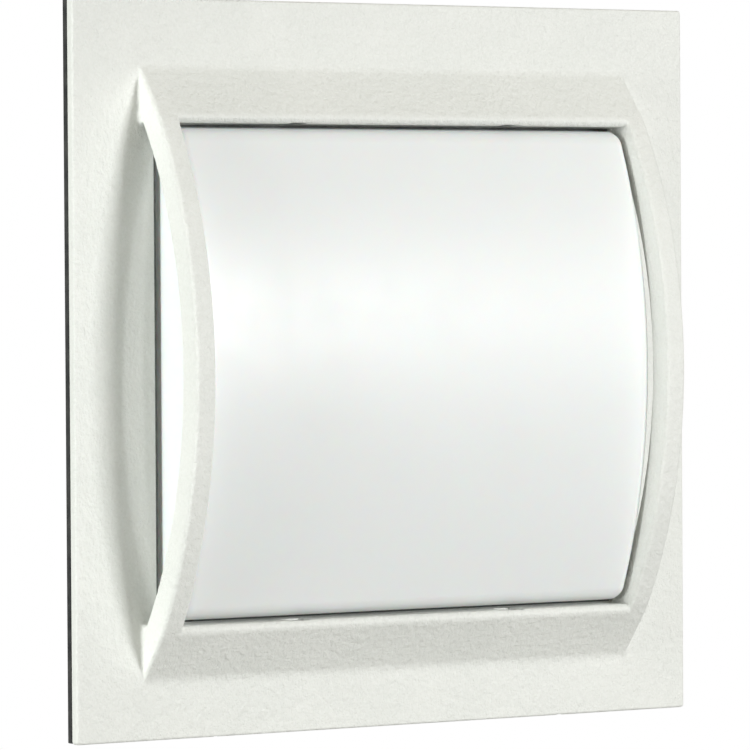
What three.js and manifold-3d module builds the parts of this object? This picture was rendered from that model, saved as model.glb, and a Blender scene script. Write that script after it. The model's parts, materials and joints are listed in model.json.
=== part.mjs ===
// Outdoor wall light: a square cast trim plate with an arched frame over a D-shaped opal glass,
// on a sheet-steel tray that carries two compact fluorescent lamps and their choke.
//
// Millimetres, +Z up. The wall is the plane Y = 0 and the light faces -Y. The origin is the middle of
// the tray's back, on the wall. Profiles are drawn with "forward", the distance from the wall (-Y).
import * as THREE from "three";
import { mergeVertices } from "three/addons/utils/BufferGeometryUtils.js";
import Module from "manifold-3d";

const wasm = await Module();
wasm.setup();

// ---------------------------------------------------------------- driving dimensions
const GAP = 0.3; // clearance left between pieces that touch

// trim plate
const PLATE_SIZE = 300;
const PLATE_EDGE = 4.5; // height of the plate's edge
const PLATE_RISE = 1.8; // the plate's middle lies this far above the window's middle
const PLATE_ROUND = 0.8;
const PLATE_CORNER = 1.2;
const SKIN = 2.6; // thickness of the casting behind its faces
const RIM = 3.5; // width of the plate's edge wall
const FOAM = 3.2; // wall seal, squeezed
const PLATE_BACK = FOAM + GAP;
const PLATE_FRONT = PLATE_BACK + PLATE_EDGE;
const SKIN_BACK = PLATE_FRONT - SKIN;
const PLATE_LOW = PLATE_RISE - PLATE_SIZE / 2;

// arched frame
const ARCH_HALF = 119.3; // half of its width
const RIB_WIDTH = 9.2;
const RIB_ROUND = 1.5;
const RIB_IN = ARCH_HALF - RIB_WIDTH; // inner face of each rib
const ARCH_RISE = 44.5; // front of the ribs above the plate's face
const ARCH_RADIUS = 205;
const REAR_RISE = 33; // back of the ribs above the plate's face
const REAR_RADIUS = 183;
const BEVEL_FOOT = 124; // where the sloping bars meet the plate
const CREASE = 104.3; // where the slope meets the arch
const WINDOW = 101.2; // half of the window's height
const OPENING_HALF = 112.5; // half width of the plate's opening
const LIP_ROUND = 3;
const WALL = 3.2; // casting thickness round the window

// opal glass
const GLASS_HALF = 109.5;
const GLASS_END = 99.4;
const GLASS = 4; // thickness
const GLASS_RISE = 34.5; // front of the dome above the plate's face
const GLASS_RADIUS = 248.5; // flatter than the ribs' arch
const GLASS_ROUND = 5;
const FLANGE_OUT = 7.3; // how far the flange stands out of the dome
const FLANGE_BACK = 2.2;
const FLANGE_FRONT = 4.2;
const GLASS_SEAL = 0.6;
const GLASS_ROUND_INSIDE = 2;
const CORNER = 4; // corner radius of the flange, the seal and the tray

// mounting tray
const TRAY = 1.2; // sheet thickness
const TRAY_HALF_X = 112;
const TRAY_HALF_Z = 101;
const TONGUE_X = 85; // hanging tongues above, locking tabs below
const TONGUE_WIDTH = 14;
const TONGUE_Z = 109;
const TONGUE_REACH = 12;
const TAB_Z = -133.2;
const TAB_REACH = 6.4;
const WALL_SLOT = { x: 96, z: 78, half: 5, width: 5.5 };
const SHEET_HOLE = 1.6; // radius of the screw holes in sheet metal

// fasteners
const CLIP_X = 52;
const CLIP_SCREW_Z = 112.5;
const CLIP_WIDTH = 8;
const CLIP_BOSS = { radius: 4, front: 12.6, hole: 11.4 }; // ends inside the sloping bar's skin
const SHANK = 1.25; // radius of the small screws' shanks
const TIP = 0.3; // the screws of the tray end this far from the wall
const LOCK_FORWARD = 5; // lock screw axis
const LOCK_RADIUS = 1.5;
const LOCK_BOSS = 2.4; // half depth of the bosses that hold the lock screws

// lamps and gear
const LAMP_Z = 44;
const LAMP_FORWARD = 17;
const TUBE_RADIUS = 6;
const TUBE_SPACING = 15;
const SOCKET_FACE = -76; // where the lamp base meets its holder
const LAMP_LENGTH = 144;
const LAMP_BASE = { length: 24, height: 33, depth: 18 };
const HOLDER = { back: -102, height: 37, depth: 20 };
const PEG = { length: 22, height: 17, depth: 15 };
const PIN = { radius: 1.15, length: 7, spacing: 23 };
const CORE = { left: -52, right: 24, half: 17, top: 27 };
const BOBBIN = { left: -58, right: 30, half: 12, low: 7, high: 23 };
const CHOKE_BASE = { left: -66, right: 50, half: 15 };
const ENTRY = { x: 92, z: 9, radius: 7 };
const EARTH = { x: 92, z: -15 };
const BLOCK = { left: 62, right: 78, half: 16, top: 15 };
const POLE_Z = [10, 0, -10]; // live, neutral and earth poles
const TOWER_RADIUS = 3.3; // round each terminal screw
const BLOCK_SCREW = { x: 70, z: 5, head: 1.4, height: 1, shank: 0.8 }; // fits between two towers
const CHOKE_SCREWS_X = [CHOKE_BASE.left + 4, CHOKE_BASE.right - 4];
const REFLECTOR = { left: -70, right: 84, low: 1.6, sheet: 0.8 };
const REFLECTOR_SCREWS_X = [-60, 74];
const REFLECTOR_SCREW_Z = 76;
const HOLDER_FOOT = { left: -97, right: -89, half: 7 }; // snap feet in the tray's slots
const FOOT_ROOM = 0.4; // round a foot in its slot
const HOLDER_WIRES_X = [-98, -88];
const HOLDER_WIRE_FORWARD = 4.8;

// facets
const CORNER_FACETS = 2; // on half of a rounded corner
const WIRE_STEPS = 3; // between two points of a wire's route

// ---------------------------------------------------------------- solids and shapes
// A closed geometry as a manifold-3d solid.
function solid(geometry) {
  const bare = geometry.clone();
  bare.deleteAttribute("normal");
  bare.deleteAttribute("uv");
  const merged = mergeVertices(bare, 1e-4);
  return new wasm.Manifold(
    new wasm.Mesh({
      numProp: 3,
      vertProperties: merged.attributes.position.array,
      triVerts: new Uint32Array(merged.index.array),
    }),
  );
}

// A manifold-3d solid as a geometry with flat normals.
function geometryOf(made) {
  const mesh = made.getMesh();
  const indexed = new THREE.BufferGeometry();
  indexed.setAttribute("position", new THREE.BufferAttribute(mesh.vertProperties, 3));
  indexed.setIndex(new THREE.BufferAttribute(mesh.triVerts, 1));
  const flat = indexed.toNonIndexed();
  flat.computeVertexNormals();
  return flat;
}

const join = (first, ...others) => others.reduce((whole, part) => whole.add(part), first);
const cut = (first, ...others) => others.reduce((whole, part) => whole.subtract(part), first);

// "fine" is how many facets a rounded edge gets.
function extrude(shape, length, round = 0, fine = 2) {
  return new THREE.ExtrudeGeometry(shape, {
    depth: length - 2 * round,
    steps: 1,
    curveSegments: CORNER_FACETS,
    bevelEnabled: round > 0,
    bevelThickness: round,
    bevelSize: round,
    bevelOffset: -round,
    bevelSegments: fine,
  }).translate(0, 0, round);
}

// Extrudes an outline of (z, forward) points from x0 to x1.
const ACROSS = new THREE.Matrix4().makeBasis(
  new THREE.Vector3(0, 0, 1),
  new THREE.Vector3(0, -1, 0),
  new THREE.Vector3(1, 0, 0),
);
function across(shape, x0, x1, round = 0, fine = 2) {
  return extrude(shape, x1 - x0, round, fine).translate(0, 0, x0).applyMatrix4(ACROSS);
}

// Extrudes an outline of (x, z) points from one forward distance to another.
function outward(shape, from, to, round = 0) {
  return extrude(shape, to - from, round).translate(0, 0, from).rotateX(Math.PI / 2);
}

function outline(points) {
  return new THREE.Shape(points.map(([a, b]) => new THREE.Vector2(a, b)));
}

// An outline of (z, forward) points for the upper side (1), or turned over for the lower side (-1).
function mirrored(points, side) {
  const placed = points.map(([z, forward]) => [side * z, forward]);
  return outline(side > 0 ? placed.reverse() : placed);
}

function rectangle(x0, x1, z0, z1) {
  return outline([[x0, z0], [x1, z0], [x1, z1], [x0, z1]]);
}

// A box between two x, two z and two forward limits.
function block(x0, x1, z0, z1, from, to) {
  return outward(rectangle(x0, x1, z0, z1), from, to);
}

function roundedRectangle(x0, x1, z0, z1, r) {
  const shape = new THREE.Shape();
  shape.moveTo(x0 + r, z0);
  shape.lineTo(x1 - r, z0);
  shape.absarc(x1 - r, z0 + r, r, -Math.PI / 2, 0, false);
  shape.lineTo(x1, z1 - r);
  shape.absarc(x1 - r, z1 - r, r, 0, Math.PI / 2, false);
  shape.lineTo(x0 + r, z1);
  shape.absarc(x0 + r, z1 - r, r, Math.PI / 2, Math.PI, false);
  shape.lineTo(x0, z0 + r);
  shape.absarc(x0 + r, z0 + r, r, Math.PI, 1.5 * Math.PI, false);
  return shape;
}

// Round bars along Y, X and Z.
function rodForward(x, z, from, to, radius, sides = 20) {
  const shape = new THREE.CylinderGeometry(radius, radius, to - from, sides);
  return shape.translate(x, -(from + to) / 2, z);
}

function rodAcross(x0, x1, forward, z, radius, sides = 20) {
  const shape = new THREE.CylinderGeometry(radius, radius, x1 - x0, sides);
  return shape.rotateZ(Math.PI / 2).translate((x0 + x1) / 2, -forward, z);
}

function rodUp(x, forward, z0, z1, radius, sides = 20) {
  const shape = new THREE.CylinderGeometry(radius, radius, z1 - z0, sides);
  return shape.rotateX(Math.PI / 2).translate(x, -forward, (z0 + z1) / 2);
}

// A turned piece whose axis points forward: the profile holds (radius, forward) points.
function turned(profile, x, z, sides = 20) {
  const points = profile.map(([radius, forward]) => new THREE.Vector2(radius, forward));
  return new THREE.LatheGeometry(points, sides).rotateX(Math.PI).translate(x, 0, z);
}

// The height of a circular arch above the plate's face, at a distance from its middle.
const archHeight = (rise, radius, z) => rise - radius + Math.sqrt(radius * radius - z * z);

// Points (z, forward) along an arch, from one side to the other.
function archPoints(rise, radius, z0, z1, steps) {
  const points = [];
  for (let i = 0; i <= steps; i++) {
    const a0 = Math.asin(z0 / radius);
    const a1 = Math.asin(z1 / radius);
    const z = radius * Math.sin(a0 + ((a1 - a0) * i) / steps);
    points.push([z, PLATE_FRONT + archHeight(rise, radius, z)]);
  }
  return points;
}

// ---------------------------------------------------------------- the scene graph
const light = new THREE.Group();
const FINISH = {
  powderCoat: { color: 0xeceee9, roughness: 0.62, metalness: 0 },
  opalGlass: { color: 0xf0f3f0, roughness: 0.35, metalness: 0 },
  silicone: { color: 0x6b6f6c, roughness: 0.7, metalness: 0 },
  foam: { color: 0x34383a, roughness: 0.95, metalness: 0 },
  stainless: { color: 0xb9bbba, roughness: 0.32, metalness: 1 },
  zincSteel: { color: 0xaeb1b0, roughness: 0.4, metalness: 1 },
  blackSteel: { color: 0x2b2c2e, roughness: 0.45, metalness: 0.8 },
  whiteSheet: { color: 0xf4f5f2, roughness: 0.3, metalness: 0 },
  whiteNylon: { color: 0xe9e8e1, roughness: 0.5, metalness: 0 },
  brass: { color: 0xc9a24b, roughness: 0.3, metalness: 1 },
  lampGlass: { color: 0xfafaf6, roughness: 0.15, metalness: 0 },
  lamination: { color: 0x3c3f43, roughness: 0.55, metalness: 0.7 },
  winding: { color: 0xd9cfa8, roughness: 0.6, metalness: 0 },
  rubber: { color: 0x202123, roughness: 0.8, metalness: 0 },
};

function add(name, finish, shape) {
  const geometry = shape.isBufferGeometry ? shape : geometryOf(shape);
  const colours = typeof finish === "string" ? FINISH[finish] : finish;
  const mesh = new THREE.Mesh(geometry, new THREE.MeshStandardMaterial(colours));
  mesh.name = name;
  light.add(mesh);
}

// ---------------------------------------------------------------- cast front frame
const SLOPE = ARCH_RISE - ARCH_RADIUS + Math.sqrt(ARCH_RADIUS ** 2 - CREASE ** 2);
const CREASE_FORWARD = PLATE_FRONT + SLOPE;
const ROOT = PLATE_FRONT - 2; // how deep the arch is rooted in the plate
const ROOT_FOOT = BEVEL_FOOT + ((PLATE_FRONT - ROOT) * (BEVEL_FOOT - CREASE)) / SLOPE;

function ribOutline() {
  const front = archPoints(ARCH_RISE, ARCH_RADIUS, CREASE, -CREASE, 30);
  const rear = archPoints(REAR_RISE, REAR_RADIUS, -WINDOW, WINDOW, 30);
  return outline([
    [ROOT_FOOT, ROOT], ...front, [-ROOT_FOOT, ROOT],
    [-WINDOW, ROOT], ...rear, [WINDOW, ROOT],
  ].reverse());
}

// The sloping bar above (side 1) or below (side -1) the window, with its rounded lip.
function barOutline(side) {
  const lip = [];
  const [lipZ, lipForward] = [WINDOW + LIP_ROUND, CREASE_FORWARD - LIP_ROUND];
  for (let i = 0; i <= 4; i++) {
    const a = (Math.PI / 8) * i;
    lip.push([lipZ - LIP_ROUND * Math.sin(a), lipForward + LIP_ROUND * Math.cos(a)]);
  }
  const inner = WINDOW + WALL;
  const points = [
    [ROOT_FOOT, ROOT], [CREASE, CREASE_FORWARD], ...lip,
    [WINDOW, SKIN_BACK], [inner, SKIN_BACK], [inner, ROOT],
  ];
  return mirrored(points, side);
}

// The hollow behind a bar, one wall thickness inside its slope.
function hollowOutline(side) {
  const length = Math.hypot(BEVEL_FOOT - CREASE, SLOPE);
  const drop = SLOPE / (BEVEL_FOOT - CREASE);
  const inset = (WALL * length) / (BEVEL_FOOT - CREASE);
  const forwardAt = (z) => CREASE_FORWARD - inset - drop * (z - CREASE);
  const inner = WINDOW + WALL;
  const outer = CREASE + (CREASE_FORWARD - inset - SKIN_BACK) / drop;
  const low = PLATE_BACK - 1;
  const points = [[inner, low], [inner, forwardAt(inner)], [outer, SKIN_BACK], [outer, low]];
  return mirrored(points, side);
}

// The plate: a shallow tray that opens towards the wall, with the window's opening.
function plate() {
  const half = PLATE_SIZE / 2;
  const inner = half - RIM;
  const edge = roundedRectangle(-half, half, PLATE_RISE - half, PLATE_RISE + half, PLATE_CORNER);
  const face = outward(edge, PLATE_BACK, PLATE_FRONT, PLATE_ROUND);
  const back = PLATE_BACK - 1;
  const recess = block(-inner, inner, PLATE_RISE - inner, PLATE_RISE + inner, back, SKIN_BACK);
  const opening = block(-OPENING_HALF, OPENING_HALF, -WINDOW, WINDOW, back, PLATE_FRONT + 0.01);
  return { face: solid(face), hollows: [solid(recess), solid(opening)] };
}

// The ledge that rests on one of the tray's tongues.
function ledge(x) {
  const [bottom, top] = [TONGUE_Z + TRAY + GAP, TONGUE_Z + 5];
  const slopeForward = PLATE_FRONT + (SLOPE * (BEVEL_FOOT - top)) / (BEVEL_FOOT - CREASE);
  return solid(block(x - 10, x + 10, bottom, top, SKIN_BACK - 1, slopeForward - 1));
}

// The boss that holds a lock screw, the hole in it, and room for the tray's tab behind it.
function lockBoss(frame, x) {
  const top = TAB_Z - TRAY - 1;
  const boss = block(x - 6, x + 6, PLATE_LOW + 0.4, top, LOCK_FORWARD - LOCK_BOSS, SKIN_BACK + 1);
  const room = block(x - 8, x + 8, top, TAB_Z + 1, SKIN_BACK - 1, TAB_REACH + GAP);
  const hole = rodUp(x, LOCK_FORWARD, PLATE_LOW - 1, PLATE_LOW + 15, LOCK_RADIUS + GAP);
  return cut(frame.add(solid(boss)), solid(room), solid(hole));
}

// The boss that a glass clip is screwed to, and the small pocket that the clip leaves in the lip.
function clipBoss(frame, x, side) {
  const z = side * CLIP_SCREW_Z;
  const boss = rodForward(x, z, PLATE_BACK + 0.1, CLIP_BOSS.front, CLIP_BOSS.radius);
  const tapped = rodForward(x, z, PLATE_BACK - 1, CLIP_BOSS.hole, SHANK + GAP);
  const low = side > 0 ? WINDOW - 1 : -WINDOW - 0.8;
  const half = CLIP_WIDTH / 2;
  const pocketFront = CREASE_FORWARD - LIP_ROUND + 0.9;
  const pocket = block(x - half, x + half, low, low + 1.8, PLATE_FRONT + 4, pocketFront);
  return cut(frame.add(solid(boss)), solid(tapped), solid(pocket));
}

function frontFrame() {
  const { face, hollows } = plate();
  let frame = face;
  for (const side of [-1, 1]) {
    const middle = side * (ARCH_HALF - RIB_WIDTH / 2);
    const [x0, x1] = [middle - RIB_WIDTH / 2, middle + RIB_WIDTH / 2];
    frame = frame.add(solid(across(ribOutline(), x0, x1, RIB_ROUND, 3)));
    frame = frame.add(solid(across(barOutline(side), -RIB_IN - 2, RIB_IN + 2)));
  }
  frame = cut(frame, ...hollows);
  const hollowEnd = ARCH_HALF - WALL;
  for (const side of [-1, 1]) frame = cut(frame, solid(across(hollowOutline(side), -hollowEnd, hollowEnd)));
  for (const x of [-TONGUE_X, TONGUE_X]) frame = lockBoss(frame.add(ledge(x)), x);
  for (const x of [-CLIP_X, CLIP_X]) {
    for (const side of [-1, 1]) frame = clipBoss(frame, x, side);
  }
  return frame;
}

// ---------------------------------------------------------------- opal glass and its seal
// The D-shaped dome, shrunk by "inside" on every face, with its long edges rounded by "round".
function dome(inside, round, steps) {
  const rise = GLASS_RISE - inside;
  const radius = GLASS_RADIUS - inside;
  const end = GLASS_END - inside;
  const corner = round + 0.5;
  const centre = PLATE_FRONT + rise - radius;
  const rise0 = Math.sqrt((radius - corner) ** 2 - (end - corner) ** 2);
  const lean = Math.atan2(rise0, end - corner);
  const fillet = [];
  for (let i = 0; i < 4; i++) {
    const a = (lean * i) / 4;
    fillet.push([end - corner + corner * Math.cos(a), centre + rise0 + corner * Math.sin(a)]);
  }
  const tangent = ((end - corner) * radius) / (radius - corner);
  const shape = outline([
    [end, -12], ...fillet, ...archPoints(rise, radius, tangent, -tangent, steps),
    ...fillet.map(([z, f]) => [-z, f]).reverse(), [-end, -12],
  ]);
  const half = GLASS_HALF - inside;
  const facets = inside > 0 ? 2 : 4;
  return solid(across(shape, -half, half, round, facets));
}

function glassDiffuser() {
  const [flangeX, flangeZ] = [GLASS_HALF + FLANGE_OUT, GLASS_END + FLANGE_OUT];
  const edge = roundedRectangle(-flangeX, flangeX, -flangeZ, flangeZ, CORNER);
  const flange = outward(edge, FLANGE_BACK, FLANGE_FRONT);
  const behind = block(-200, 200, -200, 200, -20, FLANGE_BACK);
  const shell = dome(0, GLASS_ROUND, 30).add(solid(flange));
  return cut(shell, dome(GLASS, GLASS_ROUND_INSIDE, 24), solid(behind));
}

function glassSeal() {
  const [outerX, outerZ] = [GLASS_HALF + FLANGE_OUT - 0.5, GLASS_END + FLANGE_OUT - 0.5];
  const [innerX, innerZ] = [GLASS_HALF + 0.6, GLASS_END + 0.6];
  const shape = roundedRectangle(-outerX, outerX, -outerZ, outerZ, CORNER);
  shape.holes.push(roundedRectangle(-innerX, innerX, -innerZ, innerZ, CORNER / 2));
  return outward(shape, FLANGE_FRONT + GAP, FLANGE_FRONT + GAP + GLASS_SEAL);
}

// ---------------------------------------------------------------- screws and clips
// A pan-head screw with a cross recess: its head stands forward from "seat" (1), or faces the wall (-1).
function panScrew(x, z, seat, tip, facing, { head = 2.8, height = 1.7, shank = SHANK } = {}) {
  const top = seat + facing * height;
  const profile = [
    [0, tip], [shank * 0.6, tip], [shank, tip + facing * 0.6], [shank, seat], [head, seat],
    [head, seat + facing * height * 0.5], [head * 0.75, top], [0, top],
  ];
  const body = solid(turned(facing > 0 ? profile : profile.reverse(), x, z, 12));
  const [low, high] = [top - facing * height * 0.5, top + facing].sort((a, b) => a - b);
  const arm = head * 0.6;
  const half = head / 7; // half width of the cross recess
  const wide = solid(block(x - arm, x + arm, z - half, z + half, low, high));
  const tall = solid(block(x - half, x + half, z - arm, z + arm, low, high));
  return cut(body, wide, tall);
}

// A Z-bent spring clip: its foot is screwed to a boss, and its tip bears on the back of the flange.
function glassClip(x, side) {
  const bent = [
    [116.5, 2.5], [108.6, 2.5], [107.9, 0.9], [103.6, 0.9],
    [103.6, 1.7], [107.4, 1.7], [108, 3.3], [116.5, 3.3],
  ];
  const strip = across(mirrored(bent, side), x - CLIP_WIDTH / 2, x + CLIP_WIDTH / 2);
  return cut(solid(strip), solid(rodForward(x, side * CLIP_SCREW_Z, 1, 5, SHANK + GAP)));
}

// A hexagon-socket set screw that points up from the plate's lower edge.
function lockScrew(x) {
  const low = PLATE_LOW + 0.8;
  const tip = TAB_Z - TRAY - GAP;
  const r = LOCK_RADIUS;
  const profile = [[0, low], [r - 0.3, low], [r, low + 0.3], [r, tip - 0.9], [r * 0.5, tip], [0, tip]];
  const points = profile.map(([radius, z]) => new THREE.Vector2(radius, z));
  const body = new THREE.LatheGeometry(points, 20).rotateX(Math.PI / 2).translate(x, -LOCK_FORWARD, 0);
  const socket = rodUp(x, LOCK_FORWARD, low - 2, low + 2, 0.85, 6);
  return cut(solid(body), solid(socket));
}

// ---------------------------------------------------------------- tray and wall seal
function wallSeal() {
  const half = PLATE_SIZE / 2 - 0.3;
  const inner = PLATE_SIZE / 2 - 8;
  const shape = rectangle(-half, half, PLATE_RISE - half, PLATE_RISE + half);
  shape.holes.push(rectangle(-inner, inner, PLATE_RISE - inner, PLATE_RISE + inner));
  let seal = solid(outward(shape, 0, FOAM));
  for (const x of [-TONGUE_X, TONGUE_X]) {
    const bossBack = LOCK_FORWARD - LOCK_BOSS - GAP;
    seal = seal.subtract(solid(block(x - 6.5, x + 6.5, PLATE_LOW - 1, PLATE_LOW + 10, bossBack, FOAM + 1)));
  }
  return seal;
}

function baseTray() {
  const sheet = roundedRectangle(-TRAY_HALF_X, TRAY_HALF_X, -TRAY_HALF_Z, TRAY_HALF_Z, CORNER);
  let tray = solid(outward(sheet, 0, TRAY));
  for (const x of [-TONGUE_X, TONGUE_X]) {
    const [x0, x1] = [x - TONGUE_WIDTH / 2, x + TONGUE_WIDTH / 2];
    tray = join(
      tray,
      solid(block(x0, x1, TRAY_HALF_Z - 5, TONGUE_Z + TRAY, 0, TRAY)),
      solid(block(x0, x1, TONGUE_Z, TONGUE_Z + TRAY, 0, TONGUE_REACH)),
      solid(block(x0, x1, TAB_Z - TRAY, 5 - TRAY_HALF_Z, 0, TRAY)),
      solid(block(x0, x1, TAB_Z - TRAY, TAB_Z, 0, TAB_REACH)),
    );
  }
  // the cable entry stands proud of the tray, so that its grommet clears the wall
  tray = join(tray, solid(turned([[0, 0], [12.5, 0], [11.8, 3.2], [0, 3.2]], ENTRY.x, ENTRY.z, 28)));
  const under = turned([[0, -1], [11, -1], [11, 0.6], [10.6, 2], [0, 2]], ENTRY.x, ENTRY.z, 28);
  tray = cut(tray, solid(under), solid(rodForward(ENTRY.x, ENTRY.z, -1, 5, ENTRY.radius, 28)));
  const { half, width } = WALL_SLOT;
  for (const x of [-WALL_SLOT.x, WALL_SLOT.x]) {
    for (const z of [-WALL_SLOT.z, WALL_SLOT.z]) {
      const slot = roundedRectangle(x - half, x + half, z - width / 2, z + width / 2, width / 2 - 0.05);
      tray = tray.subtract(solid(outward(slot, -1, 3)));
    }
  }
  const [footLeft, footRight] = [HOLDER_FOOT.left - FOOT_ROOM, HOLDER_FOOT.right + FOOT_ROOM];
  const footHalf = HOLDER_FOOT.half + FOOT_ROOM;
  for (const z of [-LAMP_Z, LAMP_Z]) {
    tray = tray.subtract(solid(block(footLeft, footRight, z - footHalf, z + footHalf, -1, 3)));
  }
  const holes = [
    ...REFLECTOR_SCREWS_X.flatMap((x) => [[x, REFLECTOR_SCREW_Z], [x, -REFLECTOR_SCREW_Z]]),
    ...CHOKE_SCREWS_X.map((x) => [x, 0]),
    [EARTH.x, EARTH.z],
    [BLOCK_SCREW.x, BLOCK_SCREW.z],
  ];
  for (const [x, z] of holes) tray = tray.subtract(solid(rodForward(x, z, -1, 3, SHEET_HOLE)));
  return tray;
}

// The grommet grips the edge of the entry, and its lip tapers forward.
function grommet() {
  const bore = 4;
  const profile = [
    [bore, 0.3], [10, 0.3], [10, 1.7], [6.7, 1.7],
    [6.7, 3.5], [9.5, 3.5], [8.4, 5.2], [5.4, 6.6], [bore, 6.6],
  ];
  return turned([...profile, profile[0]], ENTRY.x, ENTRY.z, 28);
}

function reflector(side) {
  const low = REFLECTOR.low;
  const high = low + REFLECTOR.sheet;
  const bent = [
    [24.3, 10], [27.2, high], [86.6, high], [92.3, 8 + REFLECTOR.sheet],
    [93, 8], [87, low], [26.6, low], [23.5, 10],
  ];
  const sheet = solid(across(mirrored(bent.reverse(), side), REFLECTOR.left, REFLECTOR.right));
  const z = side * REFLECTOR_SCREW_Z;
  return cut(sheet, ...REFLECTOR_SCREWS_X.map((x) => solid(rodForward(x, z, 0, 5, SHEET_HOLE))));
}

// ---------------------------------------------------------------- lamps and holders
function holder(z) {
  const half = HOLDER.height / 2;
  const [back, front] = [LAMP_FORWARD - HOLDER.depth / 2, LAMP_FORWARD + HOLDER.depth / 2];
  const face = SOCKET_FACE - GAP;
  const head = roundedRectangle(z - half, z + half, back, front, 2.5);
  const foot = HOLDER_FOOT;
  const body = join(
    solid(across(head, HOLDER.back, face)),
    solid(block(HOLDER.back, -84, z - 11, z + 11, TRAY + GAP, back + 1)),
    solid(block(foot.left, foot.right, z - foot.half, z + foot.half, 0.2, TRAY + 1)),
  );
  const clear = 0.6;
  const pocket = block(
    face - PEG.length - 1, face + 1, z - PEG.height / 2 - clear, z + PEG.height / 2 + clear,
    LAMP_FORWARD - PEG.depth / 2 - clear, LAMP_FORWARD + PEG.depth / 2 + clear,
  );
  let made = body.subtract(solid(pocket));
  for (const side of [-1, 1]) {
    const pin = z + (side * PIN.spacing) / 2;
    const [z0, z1] = side > 0 ? [pin - 1.6, pin + 2.4] : [pin - 2.4, pin + 1.6];
    made = made.subtract(solid(block(face - 10, face + 1, z0, z1, LAMP_FORWARD - 2, LAMP_FORWARD + 2)));
  }
  // wire entries, in the side that faces the choke
  const inward = -Math.sign(z);
  const [z0, z1] = [z + inward * 7.5, z + inward * 12].sort((a, b) => a - b);
  return cut(made, ...HOLDER_WIRES_X.map((x) => solid(rodUp(x, HOLDER_WIRE_FORWARD, z0, z1, 1.3, 12))));
}

function holderContact(z, side) {
  const pin = z + (side * PIN.spacing) / 2;
  const near = pin + side * (PIN.radius + GAP);
  const [z0, z1] = [near, near + side * 0.5].sort((a, b) => a - b);
  return block(SOCKET_FACE - 9, SOCKET_FACE - 1.5, z0, z1, LAMP_FORWARD - 1.5, LAMP_FORWARD + 1.5);
}

function lampBase(z) {
  const end = SOCKET_FACE + LAMP_BASE.length;
  const [h, d] = [LAMP_BASE.height / 2, LAMP_BASE.depth / 2];
  const shape = roundedRectangle(z - h, z + h, LAMP_FORWARD - d, LAMP_FORWARD + d, 3);
  const peg = roundedRectangle(
    z - PEG.height / 2, z + PEG.height / 2, LAMP_FORWARD - PEG.depth / 2, LAMP_FORWARD + PEG.depth / 2, 1.5,
  );
  let base = solid(across(shape, SOCKET_FACE, end, 1));
  base = base.add(solid(across(peg, SOCKET_FACE - PEG.length, SOCKET_FACE + 2, 0.6)));
  for (const side of [-1, 1]) {
    const tubeZ = z + (side * TUBE_SPACING) / 2;
    const pinZ = z + (side * PIN.spacing) / 2;
    const tube = rodAcross(end - 8, end + 1, LAMP_FORWARD, tubeZ, TUBE_RADIUS + GAP, 24);
    const hole = rodAcross(SOCKET_FACE - 1, SOCKET_FACE + 4, LAMP_FORWARD, pinZ, PIN.radius + GAP, 12);
    base = cut(base, solid(tube), solid(hole));
  }
  return base;
}

// Two glass tubes with domed ends, joined by a short bridge near the far end.
function lampTubes(z) {
  const start = SOCKET_FACE + LAMP_BASE.length - 7.5;
  const end = SOCKET_FACE + LAMP_LENGTH;
  const r = TUBE_RADIUS;
  const profile = [[0, start], [r, start]];
  for (let i = 0; i <= 4; i++) {
    const a = (Math.PI / 8) * i;
    profile.push([i === 4 ? 0 : r * Math.cos(a), end - 4 + 4 * Math.sin(a)]);
  }
  const points = profile.map(([radius, x]) => new THREE.Vector2(radius, x));
  const tubes = [-1, 1].map((side) =>
    solid(
      new THREE.LatheGeometry(points, 20).rotateZ(-Math.PI / 2)
        .translate(0, -LAMP_FORWARD, z + (side * TUBE_SPACING) / 2),
    ),
  );
  const bridge = new THREE.CylinderGeometry(3.2, 3.2, TUBE_SPACING, 14).rotateX(Math.PI / 2);
  return join(tubes[0], tubes[1], solid(bridge.translate(end - 9, -LAMP_FORWARD, z)));
}

function lampPin(z, side) {
  const at = z + (side * PIN.spacing) / 2;
  return rodAcross(SOCKET_FACE - PIN.length, SOCKET_FACE + 3.6, LAMP_FORWARD, at, PIN.radius, 12);
}

// ---------------------------------------------------------------- choke, terminals and wires
function chokeCore() {
  const shape = roundedRectangle(-CORE.half, CORE.half, 2.8, CORE.top, 2);
  const half = BOBBIN.half + GAP;
  const room = block(CORE.left - 1, CORE.right + 1, -half, half, BOBBIN.low - GAP, BOBBIN.high + GAP);
  return cut(solid(across(shape, CORE.left, CORE.right)), solid(room));
}

function chokeBobbin() {
  const shape = roundedRectangle(-BOBBIN.half, BOBBIN.half, BOBBIN.low, BOBBIN.high, 2);
  return solid(across(shape, BOBBIN.left, BOBBIN.right, 1));
}

function chokeBase() {
  const { left, right, half } = CHOKE_BASE;
  const foot = solid(outward(roundedRectangle(left, right, -half, half, 2), 1.5, 2.5));
  return cut(foot, ...CHOKE_SCREWS_X.map((x) => solid(rodForward(x, 0, 0, 4, SHEET_HOLE))));
}

function chokeTerminals() {
  let made = solid(block(BOBBIN.right + GAP, BOBBIN.right + 9, -11, 11, 2.8, 20));
  for (const z of [-5.5, 5.5]) {
    made = cut(
      made,
      solid(rodAcross(BOBBIN.right + 3, BOBBIN.right + 10, 7, z, 1.6, 12)),
      solid(rodForward(BOBBIN.right + 5, z, 15, 21, 2)),
    );
  }
  return made;
}

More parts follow.
